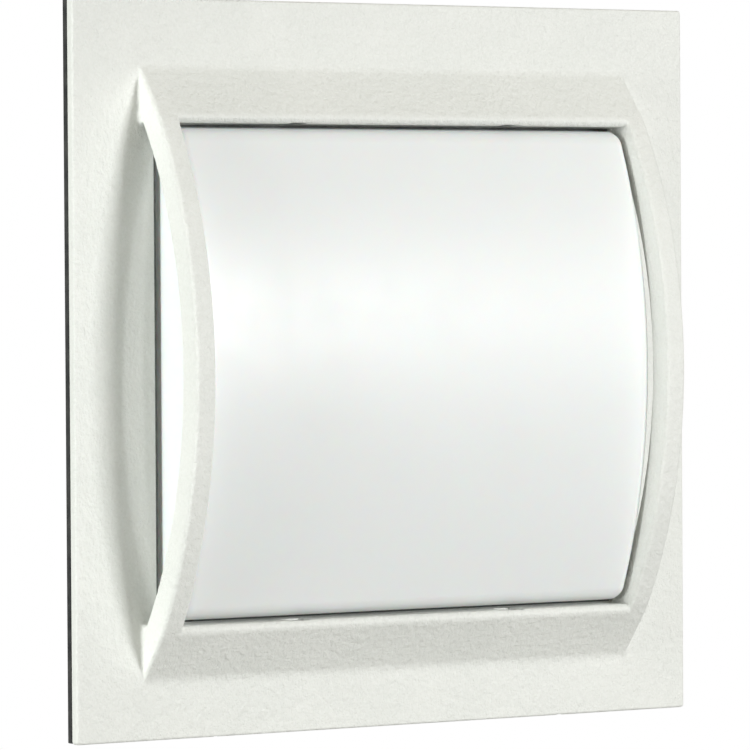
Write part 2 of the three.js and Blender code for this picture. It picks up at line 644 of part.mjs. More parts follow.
function terminalBlock() {
  let made = solid(block(BLOCK.left, BLOCK.right, -BLOCK.half, BLOCK.half, TRAY + GAP, 8));
  for (const z of POLE_Z) made = made.add(solid(rodForward(BLOCK_SCREW.x, z, 7, BLOCK.top, TOWER_RADIUS)));
  for (const z of POLE_Z) {
    made = cut(
      made,
      solid(rodForward(BLOCK_SCREW.x, z, 9, BLOCK.top + 1, 2.4)),
      solid(rodAcross(BLOCK.left - 1, BLOCK.left + 5, 5, z, 1.6, 12)),
      solid(rodAcross(BLOCK.right - 5, BLOCK.right + 1, 5, z, 1.9, 12)),
    );
  }
  const { x, z, shank } = BLOCK_SCREW;
  return made.subtract(solid(rodForward(x, z, 0, 9, shank + GAP)));
}

function terminalScrew(z) {
  const x = BLOCK_SCREW.x;
  const slot = block(x - 2.5, x + 2.5, z - 0.35, z + 0.35, BLOCK.top - 2.4, BLOCK.top);
  return cut(solid(rodForward(x, z, 9 + GAP, BLOCK.top - 1.5, 2)), solid(slot));
}

function earthLug() {
  const shape = new THREE.Shape();
  shape.absarc(EARTH.x, EARTH.z, 4, Math.PI * 1.2, Math.PI * 0.8, false);
  shape.lineTo(EARTH.x - 9, EARTH.z + 1.6);
  shape.lineTo(EARTH.x - 9, EARTH.z - 1.6);
  const lug = solid(outward(shape, TRAY + GAP, TRAY + GAP + 0.8));
  return lug.subtract(solid(rodForward(EARTH.x, EARTH.z, 0, 5, SHANK + GAP)));
}

// A wire through (x, forward, z) points.
function wire(points) {
  const places = points.map(([x, forward, z]) => new THREE.Vector3(x, -forward, z));
  const route = new THREE.CatmullRomCurve3(places, false, "centripetal");
  const section = new THREE.Shape();
  section.absarc(0, 0, 1, 0, 2 * Math.PI, false);
  const steps = WIRE_STEPS * (points.length - 1);
  return new THREE.ExtrudeGeometry(section, { steps, curveSegments: 4, extrudePath: route });
}

// Lamps and choke are in series: live - choke - upper lamp - lower lamp - neutral.
const WIRES = {
  wire_live: [0x6b3f22, [[64.5, 5, 10], [58, 5, 10], [51, 6.5, 8.5], [44, 7, 6], [36, 7, 5.5]]],
  wire_choke: [
    0x2a2a2c,
    [[36, 7, -5.5], [43, 7, -7], [47.5, 6, -13], [42, 4.2, -19], [30, 4, -20.6], [-20, 4, -20.6],
      [-54, 4, -20.6], [-64, 4, -19.4], [-71, 4, -14], [-76, 4, -4], [-82, 4.2, 12], [-87, 4.6, 24],
      [-88, 4.8, 30], [-88, 4.8, 35]],
  ],
  wire_link: [
    0xd8d6cc,
    [[-98, 4.8, -35], [-98, 4.8, -30], [-98.5, 4, -12], [-98.5, 4, 12], [-98, 4.8, 30], [-98, 4.8, 35]],
  ],
  wire_neutral: [
    0x2f5f9e,
    [[-88, 4.8, -35], [-87.5, 4.8, -30], [-82, 4.4, -25.2], [-74, 4, -23.6], [-64, 4, -23.3],
      [-20, 4, -23.3], [36, 4, -23.3], [46, 4, -22.5], [53, 4.2, -18], [56, 4.8, -8],
      [58.5, 5, -1.5], [61, 5, 0], [64.5, 5, 0]],
  ],
  wire_earth: [0x7f9a2e, [[75.5, 5, -10], [79, 5, -10], [82, 4.6, -12], [84, 3.7, -14.4], [87, 3.6, -15]]],
};

// ---------------------------------------------------------------- assembly
const LEFT_RIGHT = ["left", "right"];

add("front_frame", "powderCoat", frontFrame());
add("glass_diffuser", "opalGlass", glassDiffuser());
add("glass_gasket", "silicone", glassSeal());
for (const [height, side] of [["top", 1], ["bottom", -1]]) {
  [-CLIP_X, CLIP_X].forEach((x, i) => {
    const end = `${height}_${LEFT_RIGHT[i]}`;
    add(`glass_clip_${end}`, "stainless", glassClip(x, side));
    add(`clip_screw_${end}`, "stainless", panScrew(x, side * CLIP_SCREW_Z, 2.2, 10, -1));
  });
}
[-TONGUE_X, TONGUE_X].forEach((x, i) => add(`lock_screw_${LEFT_RIGHT[i]}`, "blackSteel", lockScrew(x)));

add("wall_gasket", "foam", wallSeal());
add("base_tray", "zincSteel", baseTray());
add("cable_grommet", "rubber", grommet());
for (const [height, side] of [["upper", 1], ["lower", -1]]) {
  const z = side * LAMP_Z;
  add(`reflector_${height}`, "whiteSheet", reflector(side));
  REFLECTOR_SCREWS_X.forEach((x, i) => {
    const seat = REFLECTOR.low + REFLECTOR.sheet + GAP;
    const screw = panScrew(x, side * REFLECTOR_SCREW_Z, seat, TIP, 1);
    add(`reflector_screw_${height}_${LEFT_RIGHT[i]}`, "zincSteel", screw);
  });
  add(`lampholder_${height}`, "whiteNylon", holder(z));
  add(`lamp_${height}_base`, "whiteNylon", lampBase(z));
  add(`lamp_${height}_tubes`, "lampGlass", lampTubes(z));
  for (const [pole, way] of [["outer", side], ["inner", -side]]) {
    add(`holder_contact_${height}_${pole}`, "brass", holderContact(z, way));
    add(`lamp_${height}_pin_${pole}`, "brass", lampPin(z, way));
  }
}

add("choke_base", "zincSteel", chokeBase());
add("choke_core", "lamination", chokeCore());
add("choke_bobbin", "winding", chokeBobbin());
add("choke_terminals", "whiteNylon", chokeTerminals());
CHOKE_SCREWS_X.forEach((x, i) => {
  add(`choke_screw_${LEFT_RIGHT[i]}`, "zincSteel", panScrew(x, 0, 2.5 + GAP, TIP, 1));
});
add("terminal_block", "whiteNylon", terminalBlock());
["live", "neutral", "earth"].forEach((pole, i) => {
  add(`terminal_screw_${pole}`, "zincSteel", terminalScrew(POLE_Z[i]));
});
const blockScrew = panScrew(BLOCK_SCREW.x, BLOCK_SCREW.z, 8 + GAP, TIP, 1, BLOCK_SCREW);
add("terminal_fixing_screw", "zincSteel", blockScrew);
add("earth_screw", "brass", panScrew(EARTH.x, EARTH.z, TRAY + 2 * GAP + 0.8, TIP, 1));
add("earth_lug", "brass", earthLug());
for (const [name, [color, route]] of Object.entries(WIRES)) {
  add(name, { color, roughness: 0.45, metalness: 0 }, wire(route));
}

export default light;
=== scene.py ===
"""Looks of a square outdoor wall light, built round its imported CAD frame.

Shapes are distance fields in millimetres: x to the right, f forward from the wall (-Y), z up. A field is
negative inside, and surface_net() turns it into a closed mesh in metres, in the frame's own axes.
"""

import json
import math

import bpy
import numpy as np
from mathutils import Matrix, Vector


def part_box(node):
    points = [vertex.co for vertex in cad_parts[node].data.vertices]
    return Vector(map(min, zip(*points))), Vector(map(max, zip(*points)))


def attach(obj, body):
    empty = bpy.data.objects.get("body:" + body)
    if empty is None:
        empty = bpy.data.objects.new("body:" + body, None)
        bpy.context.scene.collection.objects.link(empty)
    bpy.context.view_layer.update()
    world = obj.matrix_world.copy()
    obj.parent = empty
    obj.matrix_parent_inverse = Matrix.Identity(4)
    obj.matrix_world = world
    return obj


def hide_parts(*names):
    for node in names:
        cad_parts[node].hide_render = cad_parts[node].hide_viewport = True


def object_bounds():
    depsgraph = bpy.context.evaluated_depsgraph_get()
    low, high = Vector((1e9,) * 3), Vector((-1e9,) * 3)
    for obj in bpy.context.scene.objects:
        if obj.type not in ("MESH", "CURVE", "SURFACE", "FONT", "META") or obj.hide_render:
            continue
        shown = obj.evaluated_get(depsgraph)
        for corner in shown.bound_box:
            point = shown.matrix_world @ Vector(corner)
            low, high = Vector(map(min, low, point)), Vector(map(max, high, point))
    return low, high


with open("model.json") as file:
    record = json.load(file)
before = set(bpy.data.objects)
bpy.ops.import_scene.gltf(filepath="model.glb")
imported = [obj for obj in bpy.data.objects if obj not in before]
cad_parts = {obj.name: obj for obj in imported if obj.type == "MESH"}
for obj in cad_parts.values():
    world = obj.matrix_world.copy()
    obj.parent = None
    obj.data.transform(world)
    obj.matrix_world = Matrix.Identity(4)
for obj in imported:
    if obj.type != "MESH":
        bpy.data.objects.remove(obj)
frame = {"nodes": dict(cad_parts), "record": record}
cad_low, cad_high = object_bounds()
NODES = frame["nodes"]
METRE = 1000.0  # millimetres


# ---------------------------------------------------------------- what the frame says
def limits(node):
    """(low, high) of a CAD node as (x, f, z) in millimetres."""
    low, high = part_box(node)
    return (
        np.array([low.x, -high.y, low.z]) * METRE,
        np.array([high.x, -low.y, high.z]) * METRE,
    )


FRAME_LOW, FRAME_HIGH = limits("front_frame")
GLASS_LOW, GLASS_HIGH = limits("glass_diffuser")

# the casting
PLATE_HALF = (FRAME_HIGH[0] - FRAME_LOW[0]) / 2
PLATE_RISE = (FRAME_HIGH[2] + FRAME_LOW[2]) / 2
PLATE_BACK = 3.5
PLATE_FRONT = 8.0
PLATE_CORNER = 1.2
PLATE_ROUND = 1.0
SKIN_BACK = 5.4
RIM = 3.5
ARCH_HALF = 119.3
RIB_WIDTH = 9.2
RIB_IN = ARCH_HALF - RIB_WIDTH
ARCH_FRONT = FRAME_HIGH[1]
ARCH_RADIUS = 205.0
REAR_FRONT = 41.0
REAR_RADIUS = 183.0
BEVEL_FOOT = 124.0
CREASE = 104.3
WINDOW = 101.2
OPENING_HALF = 112.5
WALL = 3.2
OPENING_ROUND = 0.5
LIP_ROUND = 3.0
CREASE_ROUND = 1.0
RIB_ROUND = 1.5
FOOT_FILLET = 1.2
BAR_OVERLAP = 5.0  # how far a bar runs on inside each rib
BAR_SINK = 0.5  # how steeply it sinks there
CREASE_FRONT = ARCH_FRONT - ARCH_RADIUS + math.sqrt(ARCH_RADIUS**2 - CREASE**2)
BEVEL_RUN = BEVEL_FOOT - CREASE
BEVEL_RISE = CREASE_FRONT - PLATE_FRONT
BEVEL_LENGTH = math.hypot(BEVEL_RUN, BEVEL_RISE)

# the opal glass
GLASS = 4.0
FLANGE_OUT = 7.3
GLASS_HALF = GLASS_HIGH[0] - FLANGE_OUT
GLASS_END = GLASS_HIGH[2] - FLANGE_OUT
GLASS_FRONT = GLASS_HIGH[1]
GLASS_RADIUS = 248.5
FLANGE_BACK = GLASS_LOW[1]
FLANGE_FRONT = FLANGE_BACK + 2.0
FLANGE_CORNER = 4.0
FLANGE_ROUND = 0.6
FLANGE_FILLET = 1.0
GLASS_EDGE = 5.0
GLASS_INNER_EDGE = 2.0
BACK_EDGE_ROUND = 0.5


# ---------------------------------------------------------------- distance fields
def slab(v, low, high):
    return np.maximum(low - v, v - high)


def both(*fields):
    """What is inside every field."""
    made = fields[0]
    for field in fields[1:]:
        made = np.maximum(made, field)
    return made


def either(*fields):
    """What is inside any of the fields."""
    made = fields[0]
    for field in fields[1:]:
        made = np.minimum(made, field)
    return made


def rounded_both(a, b, r):
    """The overlap of two fields, with its edge rounded."""
    u, v = np.maximum(a + r, 0), np.maximum(b + r, 0)
    return np.minimum(np.maximum(a, b) + r, 0) + np.hypot(u, v) - r


def filleted(a, b, r):
    """The union of two fields, with a fillet between them."""
    return -rounded_both(-a, -b, r)


def box_field(x, f, z, x_range, f_range, z_range, r=0.0):
    """A box with all its edges rounded."""
    q = [slab(v, low, high) + r for v, (low, high) in ((x, x_range), (f, f_range), (z, z_range))]
    inside = np.minimum(both(*q), 0)
    u, v, w = (np.maximum(part, 0) for part in q)
    return inside + np.sqrt(u * u + v * v + w * w) - r


def rounded_rectangle(u, v, half_u, half_v, r):
    qu, qv = np.abs(u) - half_u + r, np.abs(v) - half_v + r
    return np.minimum(np.maximum(qu, qv), 0) + np.hypot(np.maximum(qu, 0), np.maximum(qv, 0)) - r


def rod_field(u, v, cu, cv, radius):
    return np.hypot(u - cu, v - cv) - radius


# ---------------------------------------------------------------- fields into meshes
def graded(low, high, features, fine, coarse, growth=0.3):
    """Grid lines that are fine at each feature and coarser away from all of them."""
    marks = np.array(sorted(features))
    lines = [low]
    while lines[-1] < high:
        at = lines[-1]
        ahead = marks[marks >= at]
        near = np.abs(marks - at).min() if len(marks) else coarse
        step = min(coarse, fine + growth * near)
        if len(ahead):
            step = min(step, max(fine, (ahead[0] - at) * 0.5 + fine))
        lines.append(at + step)
    return np.array(lines)


def crossings(values, lines):
    """One vertex for each grid cell that the surface passes through, and the cells' numbering."""
    inside = values < 0
    cells = tuple(n - 1 for n in values.shape)
    corners = [(i, j, k) for i in (0, 1) for j in (0, 1) for k in (0, 1)]

    def corner(array, at):
        return array[tuple(slice(a, a + n) for a, n in zip(at, cells))]

    count = sum(corner(inside, at).astype(np.int8) for at in corners)
    mixed = (count > 0) & (count < 8)
    number = np.full(cells, -1, np.int64)
    number[mixed] = np.arange(mixed.sum())
    base = np.argwhere(mixed)
    total = np.zeros((len(base), 3))
    hits = np.zeros(len(base))
    for at in corners:
        for axis in range(3):
            if at[axis]:
                continue
            start = base + at
            end = start.copy()
            end[:, axis] += 1
            a, b = values[tuple(start.T)], values[tuple(end.T)]
            crossed = (a < 0) != (b < 0)
            share = np.where(crossed, a / np.where(crossed, a - b, 1), 0)
            point = np.stack([line[i] for line, i in zip(lines, start.T)], 1)
            point[:, axis] += share * (lines[axis][end[:, axis]] - lines[axis][start[:, axis]])
            total[crossed] += point[crossed]
            hits += crossed
    return total / hits[:, None], number, inside


def quads_of(number, inside):
    """One quad for each grid edge that the surface crosses, facing out."""
    found = []
    for axis in range(3):
        u, v = (axis + 1) % 3, (axis + 2) % 3
        here = [slice(1, -1)] * 3
        here[axis] = slice(0, -1)
        there = list(here)
        there[axis] = slice(1, None)
        a, b = inside[tuple(here)], inside[tuple(there)]
        edges = np.argwhere(a != b)
        leaving = a[tuple(edges.T)]
        at = edges.copy()
        at[:, u] += 1
        at[:, v] += 1
        ring = []
        for du, dv in ((1, 1), (0, 1), (0, 0), (1, 0)):
            cell = at.copy()
            cell[:, u] -= du
            cell[:, v] -= dv
            ring.append(number[tuple(cell.T)])
        quad = np.stack(ring, 1)
        quad[leaving] = quad[leaving][:, ::-1]
        found.append(quad)
    return np.concatenate(found)


def slope_of(field, points, h=0.02):
    parts = []
    for axis in range(3):
        step = np.zeros(3)
        step[axis] = h
        parts.append((field(*(points + step).T) - field(*(points - step).T)) / (2 * h))
    return np.stack(parts, 1)


def surface_net(name, field, lines, most=0.6):
    """A closed mesh of a field, sampled on the given grid lines (x, f, z)."""
    grid = np.meshgrid(*lines, indexing="ij", sparse=True)
    shape = tuple(len(line) for line in lines)
    values = np.broadcast_to(field(*grid), shape).astype(np.float64)
    points, number, inside = crossings(values, lines)
    quads = quads_of(number, inside)
    cell = np.argwhere(number >= 0)
    first = np.stack([line[i] for line, i in zip(lines, cell.T)], 1)
    last = np.stack([line[i + 1] for line, i in zip(lines, cell.T)], 1)
    for _ in range(4):
        slope = slope_of(field, points)
        away = field(*points.T) / np.maximum((slope**2).sum(1), 0.25)
        points = points - np.clip(away, -most, most)[:, None] * slope
        points = np.clip(points, first, last)  # a vertex stays in its own cell
    normals = slope_of(field, points)
    normals /= np.maximum(np.linalg.norm(normals, axis=1), 1e-9)[:, None]
    to_scene = np.array([1.0, -1.0, 1.0])  # forward is -Y
    points = points * to_scene / METRE
    normals = normals * to_scene
    mesh = bpy.data.meshes.new(name)
    mesh.vertices.add(len(points))
    mesh.vertices.foreach_set("co", points.astype(np.float32).ravel())
    mesh.loops.add(len(quads) * 4)
    mesh.loops.foreach_set("vertex_index", quads.astype(np.int32).ravel())
    mesh.polygons.add(len(quads))
    mesh.polygons.foreach_set("loop_start", np.arange(0, len(quads) * 4, 4, dtype=np.int32))
    mesh.polygons.foreach_set("use_smooth", np.ones(len(quads), bool))
    mesh.update(calc_edges=True)
    mesh.normals_split_custom_set_from_vertices(normals.astype(np.float32).tolist())
    made = bpy.data.objects.new(name, mesh)
    bpy.context.scene.collection.objects.link(made)
    return made


# ---------------------------------------------------------------- the casting
CLIP_X = 52.0
CLIP_SCREW_Z = 112.5
CLIP_HALF = 4.0
CLIP_BOSS = (4.0, 3.6, 12.6)  # radius, back and front
CLIP_HOLE = (1.55, 2.0, 11.4)
POCKET_DEPTH = 0.8
POCKET_BACK = 12.0
POCKET_SKIN = 2.1
TONGUE_X = 85.0
TONGUE_Z = 109.0
TAB_Z = -133.2
TRAY = 1.2
GAP = 0.3
LEDGE_HALF = 10.0
LEDGE_TOP = TONGUE_Z + 5.0
LOCK_FORWARD = 5.0
LOCK_HOLE = 1.8
LOCK_DEPTH = 15.0
BOSS_HALF = 6.0
BOSS_ROUND = 0.3
RELIEF_HALF = 8.0
RELIEF_FRONT = 6.7


def arch_outline(z, f):
    """The arch from the side: its front arc, its two slopes and the slope's own field."""
    slope = ((np.abs(z) - BEVEL_FOOT) * BEVEL_RISE + (f - PLATE_FRONT) * BEVEL_RUN) / BEVEL_LENGTH
    front = np.hypot(z, f - ARCH_FRONT + ARCH_RADIUS) - ARCH_RADIUS
    return front, slope


def casting(x, f, z):
    ax, az = np.abs(x), np.abs(z)
    low = PLATE_RISE - PLATE_HALF
    plate = rounded_rectangle(x, z - PLATE_RISE, PLATE_HALF, PLATE_HALF, PLATE_CORNER)
    plate = rounded_both(plate, slab(f, PLATE_BACK, PLATE_FRONT), PLATE_ROUND)
    inner = PLATE_HALF - RIM
    plate = both(plate, -both(ax - inner, np.abs(z - PLATE_RISE) - inner, f - SKIN_BACK))
    plate = rounded_both(plate, -both(ax - OPENING_HALF, az - WINDOW), OPENING_ROUND)

    front, slope = arch_outline(z, f)
    under = both(np.hypot(z, f - REAR_FRONT + REAR_RADIUS) - REAR_RADIUS, az - WINDOW)
    side_view = both(rounded_both(front, slope, CREASE_ROUND), -under, PLATE_FRONT - 2 - f)
    rib = rounded_both(side_view, np.abs(ax - ARCH_HALF + RIB_WIDTH / 2) - RIB_WIDTH / 2, RIB_ROUND)
    bar = rounded_both(WINDOW - az, f - CREASE_FRONT, LIP_ROUND)
    bar = both(rounded_both(bar, slope, CREASE_ROUND), ax - RIB_IN - BAR_OVERLAP, SKIN_BACK - f)
    bar = bar + BAR_SINK * np.maximum(ax - RIB_IN - RIB_ROUND, 0)  # so that no step shows at the joint
    made = filleted(plate, either(rib, bar), FOOT_FILLET)
    made = both(made, -both(slope + WALL, WINDOW + WALL - az, ax - ARCH_HALF + WALL))

    ledge_front = PLATE_FRONT + BEVEL_RISE * (BEVEL_FOOT - LEDGE_TOP) / BEVEL_RUN - 1
    from_tongue = np.abs(ax - TONGUE_X)
    ledge = both(
        from_tongue - LEDGE_HALF,
        slab(z, TONGUE_Z + TRAY + GAP, LEDGE_TOP),
        slab(f, SKIN_BACK - 1, ledge_front),
    )
    boss = box_field(
        from_tongue, f, z,
        (-BOSS_HALF, BOSS_HALF), (LOCK_FORWARD - 2.4, SKIN_BACK + 1), (low + 0.4, TAB_Z - TRAY - 1),
        BOSS_ROUND,
    )
    relief = both(
        from_tongue - RELIEF_HALF,
        slab(z, TAB_Z - TRAY - 1, TAB_Z + 1),
        slab(f, SKIN_BACK - 1, RELIEF_FRONT),
    )
    hole = both(rod_field(from_tongue, f, 0, LOCK_FORWARD, LOCK_HOLE), slab(z, low - 1, low + LOCK_DEPTH))
    made = both(either(made, ledge, boss), -relief, -hole)

    from_clip = np.hypot(ax - CLIP_X, az - CLIP_SCREW_Z)
    clip_boss = both(from_clip - CLIP_BOSS[0], slab(f, *CLIP_BOSS[1:]))
    clip_hole = both(from_clip - CLIP_HOLE[0], slab(f, *CLIP_HOLE[1:]))
    pocket = both(
        np.abs(ax - CLIP_X) - CLIP_HALF,
        slab(az, WINDOW - 1, WINDOW + POCKET_DEPTH),
        slab(f, POCKET_BACK, CREASE_FRONT - POCKET_SKIN),
    )
    return both(either(made, clip_boss), -clip_hole, -pocket)


def mirrored(*places):
    return [side * place for side in (-1, 1) for place in places]


def make_casting():
    """The grid lines lie closest where the casting's edges and small features are."""
    xs = graded(-151, 151, mirrored(149.5, 146.5, 118, 111.3, TONGUE_X, CLIP_X), 0.55, 6)
    edges = [FRAME_LOW[2] + 0.5, FRAME_HIGH[2] - 0.5, 145, -142, -134.5]
    zs = graded(
        FRAME_LOW[2] - 1, FRAME_HIGH[2] + 1,
        edges + mirrored(BEVEL_FOOT, CLIP_SCREW_Z, CREASE, 102), 0.55, 5,
    )
    fs = graded(1.5, ARCH_FRONT + 1, [3.8, 5.4, 7.6, 22, 51.5], 0.5, 1.6)
    return surface_net("front_casting", casting, (xs, fs, zs))


# ---------------------------------------------------------------- the opal glass
def dome(x, f, z, inside, edge):
    """The D-shaped dome, shrunk on every face by "inside"."""
    side_view = rounded_both(
        np.abs(z) - GLASS_END + inside,
        np.hypot(z, f - GLASS_FRONT + GLASS_RADIUS) - GLASS_RADIUS + inside,
        edge + 0.5,
    )
    return rounded_both(side_view, np.abs(x) - GLASS_HALF + inside, edge)


def diffuser(x, f, z):
    flange = rounded_rectangle(x, z, GLASS_HALF + FLANGE_OUT, GLASS_END + FLANGE_OUT, FLANGE_CORNER)
    flange = rounded_both(flange, slab(f, FLANGE_BACK, FLANGE_FRONT), FLANGE_ROUND)
    shell = filleted(dome(x, f, z, 0, GLASS_EDGE), flange, FLANGE_FILLET)
    inside = dome(x, f, z, GLASS, GLASS_INNER_EDGE)
    return both(rounded_both(shell, FLANGE_BACK - f, BACK_EDGE_ROUND), -inside)


def make_diffuser():
    sides = mirrored(GLASS_HALF + FLANGE_OUT - 0.5, GLASS_HALF - 1, GLASS_HALF - 5)
    ends = mirrored(GLASS_END + FLANGE_OUT - 0.5, GLASS_END - 1, GLASS_END - 5)
    xs = graded(-GLASS_HALF - FLANGE_OUT - 1, GLASS_HALF + FLANGE_OUT + 1, sides, 0.7, 6)
    zs = graded(-GLASS_END - FLANGE_OUT - 1, GLASS_END + FLANGE_OUT + 1, ends, 0.7, 4)
    fs = graded(FLANGE_BACK - 1, GLASS_FRONT + 1, [FLANGE_BACK + 0.3, FLANGE_FRONT], 0.5, 1.5)
    return surface_net("opal_glass_shell", diffuser, (xs, fs, zs))


# ---------------------------------------------------------------- materials
class Nodes:
    """A short way to write a procedural material."""

    def __init__(self, name):
        self.material = bpy.data.materials.new(name)
        self.material.use_nodes = True
        self.tree = self.material.node_tree
        self.shader = self.tree.nodes["Principled BSDF"]
        coordinates = self.tree.nodes.new("ShaderNodeTexCoord")
        self.place = coordinates.outputs["Object"]

    def link(self, source, target):
        self.tree.links.new(source, target)

    def stretched(self, scale):
        made = self.tree.nodes.new("ShaderNodeMapping")
        made.inputs["Scale"].default_value = scale
        self.link(self.place, made.inputs["Vector"])
        return made.outputs["Vector"]

    def noise(self, scale, detail=3.0, roughness=0.5, vector=None):
        made = self.tree.nodes.new("ShaderNodeTexNoise")
        made.inputs["Scale"].default_value = scale
        made.inputs["Detail"].default_value = detail
        made.inputs["Roughness"].default_value = roughness
        self.link(vector or self.place, made.inputs["Vector"])
        return made.outputs["Fac"]

    def cells(self, scale, vector=None, feature="F1"):
        made = self.tree.nodes.new("ShaderNodeTexVoronoi")
        made.feature = feature
        made.inputs["Scale"].default_value = scale
        self.link(vector or self.place, made.inputs["Vector"])
        return made.outputs["Distance"]

    def bands(self, period, axis, distortion=0.0):
        """Fine parallel stripes, one every "period" metres along an axis."""
        made = self.tree.nodes.new("ShaderNodeTexWave")
        made.bands_direction = axis
        made.inputs["Scale"].default_value = math.pi / (10 * period)
        made.inputs["Distortion"].default_value = distortion
        self.link(self.place, made.inputs["Vector"])
        return made.outputs["Fac"]

    def ramp(self, source, low, high, start=0.35, end=0.65):
        """Spreads a value between two colours."""
        made = self.tree.nodes.new("ShaderNodeValToRGB")
        first, last = made.color_ramp.elements
        first.position, last.position = start, end
        first.color, last.color = (*low, 1), (*high, 1)
        self.link(source, made.inputs["Fac"])
        return made.outputs["Color"]

    def spread(self, source, low, high, start=0.3, end=0.7):
        """Spreads a value between two numbers."""
        made = self.tree.nodes.new("ShaderNodeMapRange")
        for key, value in zip(("From Min", "From Max", "To Min", "To Max"), (start, end, low, high)):
            made.inputs[key].default_value = value
        self.link(source, made.inputs["Value"])
        return made.outputs["Result"]

    def combine(self, operation, a, b):
        made = self.tree.nodes.new("ShaderNodeMath")
        made.operation = operation
        for socket, value in zip(made.inputs, (a, b)):
            if isinstance(value, (int, float)):
                socket.default_value = value
            else:
                self.link(value, socket)
        return made.outputs["Value"]

    def mixed(self, share, a, b):
        """Colour a where share is 0 and b where it is 1."""
        made = self.tree.nodes.new("ShaderNodeMix")
        made.data_type = "RGBA"
        self.link(share, made.inputs["Factor"])
        for socket, value in zip((made.inputs[6], made.inputs[7]), (a, b)):
            if isinstance(value, tuple):
                socket.default_value = (*value, 1)
            else:
                self.link(value, socket)
        return made.outputs[2]

    def relief(self, height, strength, distance, under=None):
        made = self.tree.nodes.new("ShaderNodeBump")
        made.inputs["Strength"].default_value = strength
        made.inputs["Distance"].default_value = distance
        self.link(height, made.inputs["Height"])
        if under:
            self.link(under, made.inputs["Normal"])
        self.link(made.outputs["Normal"], self.shader.inputs["Normal"])
        return made.outputs["Normal"]

    def set(self, **values):
        names = {
            "colour": "Base Color", "rough": "Roughness", "metal": "Metallic", "coat": "Coat Weight",
            "coat_rough": "Coat Roughness", "ior": "IOR", "specular": "Specular IOR Level",
            "sheen": "Sheen Weight", "sheen_rough": "Sheen Roughness",
            "subsurface": "Subsurface Weight", "subsurface_scale": "Subsurface Scale",
            "transmission": "Transmission Weight",
        }
        for key, value in values.items():
            socket = self.shader.inputs[names[key]]
            if isinstance(value, tuple):
                socket.default_value = (*value, 1)
            elif isinstance(value, (int, float)):
                socket.default_value = value
            else:
                self.link(value, socket)
        return self


def powder_coat():
    m = Nodes("powder_coat")
    tint = m.ramp(m.noise(35, 4), (0.835, 0.85, 0.815), (0.875, 0.885, 0.85))
    specks = m.ramp(m.noise(900, 2), (0.79, 0.80, 0.76), (0.89, 0.90, 0.87), 0.3, 0.62)
    colour = m.mixed(m.spread(m.noise(420, 3), 0.15, 0.5), tint, specks)
    m.set(colour=colour, rough=m.spread(m.noise(700, 3), 0.48, 0.66), specular=0.45)
    lumps = m.noise(430, 3, 0.55, m.stretched((1.0, 1.0, 0.7)))
    grain = m.combine("ADD", lumps, m.combine("MULTIPLY", m.noise(1500, 2), 0.3))
    m.relief(grain, 1.0, 0.0009)
    return m.material


def opal_glass():
    m = Nodes("opal_glass")
    colour = m.ramp(m.noise(9, 2), (0.872, 0.893, 0.893), (0.884, 0.903, 0.903), 0.2, 0.8)
    m.set(
        colour=colour, rough=m.spread(m.noise(60, 4), 0.32, 0.42), ior=1.5, specular=0.5,
        subsurface=0.25, subsurface_scale=0.004,
    )
    m.relief(m.noise(1800, 2), 0.12, 0.0001)
    return m.material


def silicone():
    m = Nodes("silicone")
    colour = m.ramp(m.noise(260, 4), (0.17, 0.18, 0.175), (0.25, 0.26, 0.25))
    m.set(colour=colour, rough=m.spread(m.noise(900), 0.5, 0.75))
    m.relief(m.noise(1400, 3), 0.3, 0.00015)
    return m.material


def foam():
    """Closed-cell foam: cells about a millimetre wide, with painted shade in the pit of each cell, and dusty
    patches.
    """
    m = Nodes("foam")
    pores_and_pit_shade = m.cells(1100)
    colour = m.mixed(m.spread(m.noise(160, 4), 0.0, 0.7), (0.018, 0.020, 0.022), (0.085, 0.085, 0.08))
    # painted shade: the pit in the middle of each cell is darkened, as if shade fell into it
    colour = m.mixed(m.spread(pores_and_pit_shade, 0.6, 0.0, 0.1, 0.5), colour, (0.01, 0.01, 0.011))
    m.set(colour=colour, rough=m.spread(pores_and_pit_shade, 0.8, 0.98))
    m.relief(pores_and_pit_shade, 0.8, 0.0004)
    return m.material


def metal(name, low, high, rough, stretch=(1, 1, 1), crystals=0):
    """Bare or plated metal: cloudy tone, fine scratches, and crystal patches where it is galvanised."""
    m = Nodes(name)
    tone = m.ramp(m.noise(60, 4), low, high)
    grain = m.noise(1300, 3, 0.6, m.stretched(stretch))
    shine = m.spread(grain, *rough)
    if crystals:
        patches = m.cells(crystals)
        tone = m.mixed(m.spread(patches, 0.0, 0.45, 0.1, 0.8), tone, low)
        shine = m.combine("ADD", shine, m.spread(patches, -0.05, 0.08, 0.1, 0.8))
    m.set(colour=tone, metal=1.0, rough=shine)
    m.relief(grain, 0.35, 0.00006)
    return m.material


def zinc_steel():
    return metal("zinc_steel", (0.50, 0.51, 0.52), (0.66, 0.67, 0.67), (0.28, 0.46), crystals=160)


def zinc_screw():
    return metal("zinc_screw", (0.55, 0.56, 0.57), (0.70, 0.71, 0.70), (0.22, 0.4))


def stainless():
    return metal("stainless", (0.52, 0.53, 0.53), (0.64, 0.65, 0.65), (0.2, 0.36), (0.06, 1, 1))


def black_steel():
    return metal("black_steel", (0.030, 0.031, 0.034), (0.07, 0.071, 0.075), (0.32, 0.5))


def brass():
    return metal("brass", (0.62, 0.42, 0.16), (0.80, 0.60, 0.27), (0.18, 0.36), (0.15, 1, 1))


def white_enamel():
    """Stoved gloss enamel with a faint orange peel."""
    m = Nodes("white_enamel")
    m.set(
        colour=m.ramp(m.noise(30, 3), (0.84, 0.85, 0.84), (0.89, 0.895, 0.88)),
        rough=m.spread(m.noise(220, 3), 0.2, 0.34), coat=0.35, coat_rough=0.08,
    )
    m.relief(m.noise(420, 2), 0.2, 0.0002)
    return m.material


